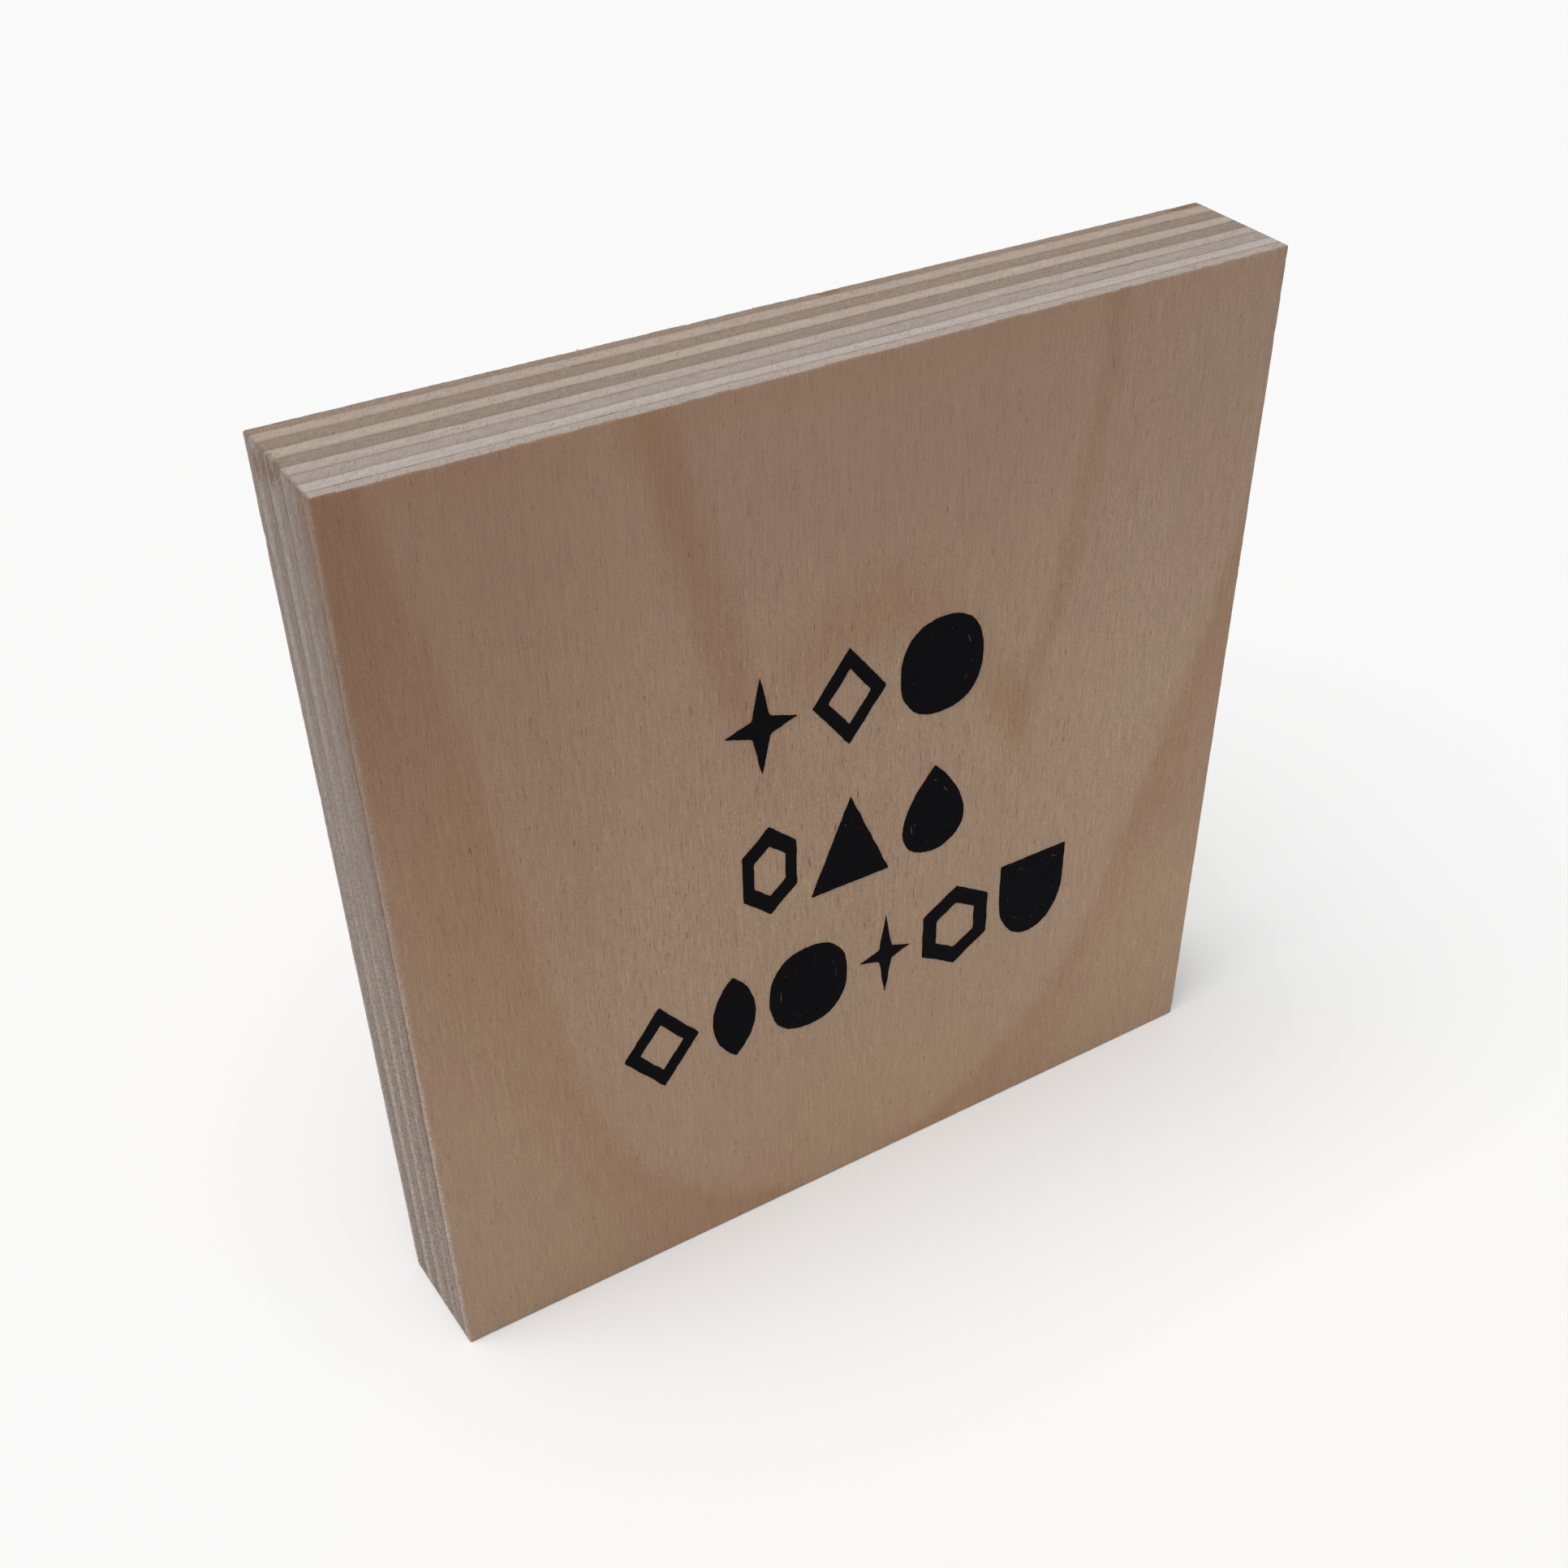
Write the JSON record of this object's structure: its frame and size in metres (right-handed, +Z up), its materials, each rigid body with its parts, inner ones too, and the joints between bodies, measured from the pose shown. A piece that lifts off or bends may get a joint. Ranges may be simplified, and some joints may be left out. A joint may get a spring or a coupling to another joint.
{
  "type": "wooden plaque",
  "caption": "Small free-standing square plaque sawn from plywood, with rows of plain black cut-film shapes on its front face.",
  "frame": {"origin": "middle of the underside of the board, on the surface it stands on", "axes": "+Z up; the front face with the motif faces -Y; +X to the right seen from the front"},
  "size_m": [0.087, 0.0121, 0.087],
  "materials": {
    "face_wood": "sanded, unfinished light brown veneer with upright grain, fine pores and soft growth bands",
    "crossband_wood": "sawn ply edge, grain left to right: pale along the top, greyer end grain at the sides",
    "core_wood": "sawn ply edge, grain upright: darker end grain along the top, paler long grain at the sides",
    "glue": "hardened dark brown resin",
    "film": "thin matte black self-adhesive film with knife-cut edges"
  },
  "bodies": {
    "root": {"face_veneer": "face_wood", "crossband_1": "crossband_wood", "core_1": "core_wood", "crossband_2": "crossband_wood", "core_2": "core_wood", "crossband_3": "crossband_wood", "core_3": "core_wood", "crossband_4": "crossband_wood", "back_veneer": "face_wood", "glue_line_1": "glue", "glue_line_2": "glue", "glue_line_3": "glue", "glue_line_4": "glue", "glue_line_5": "glue", "glue_line_6": "glue", "glue_line_7": "glue", "glue_line_8": "glue", "film_tall_lozenge": "film", "film_pebble": "film", "film_star": "film", "film_triangle": "film", "film_drop": "film", "film_slim_hexagon": "film", "film_hexagon": "film", "film_seed": "film", "film_leaf": "film", "film_shield": "film", "film_slim_star": "film", "film_lozenge": "film", "island_pebble": "film", "island_triangle": "film", "island_drop": "film", "island_seed": "film", "island_shield": "film"}
  },
  "joints": []
}
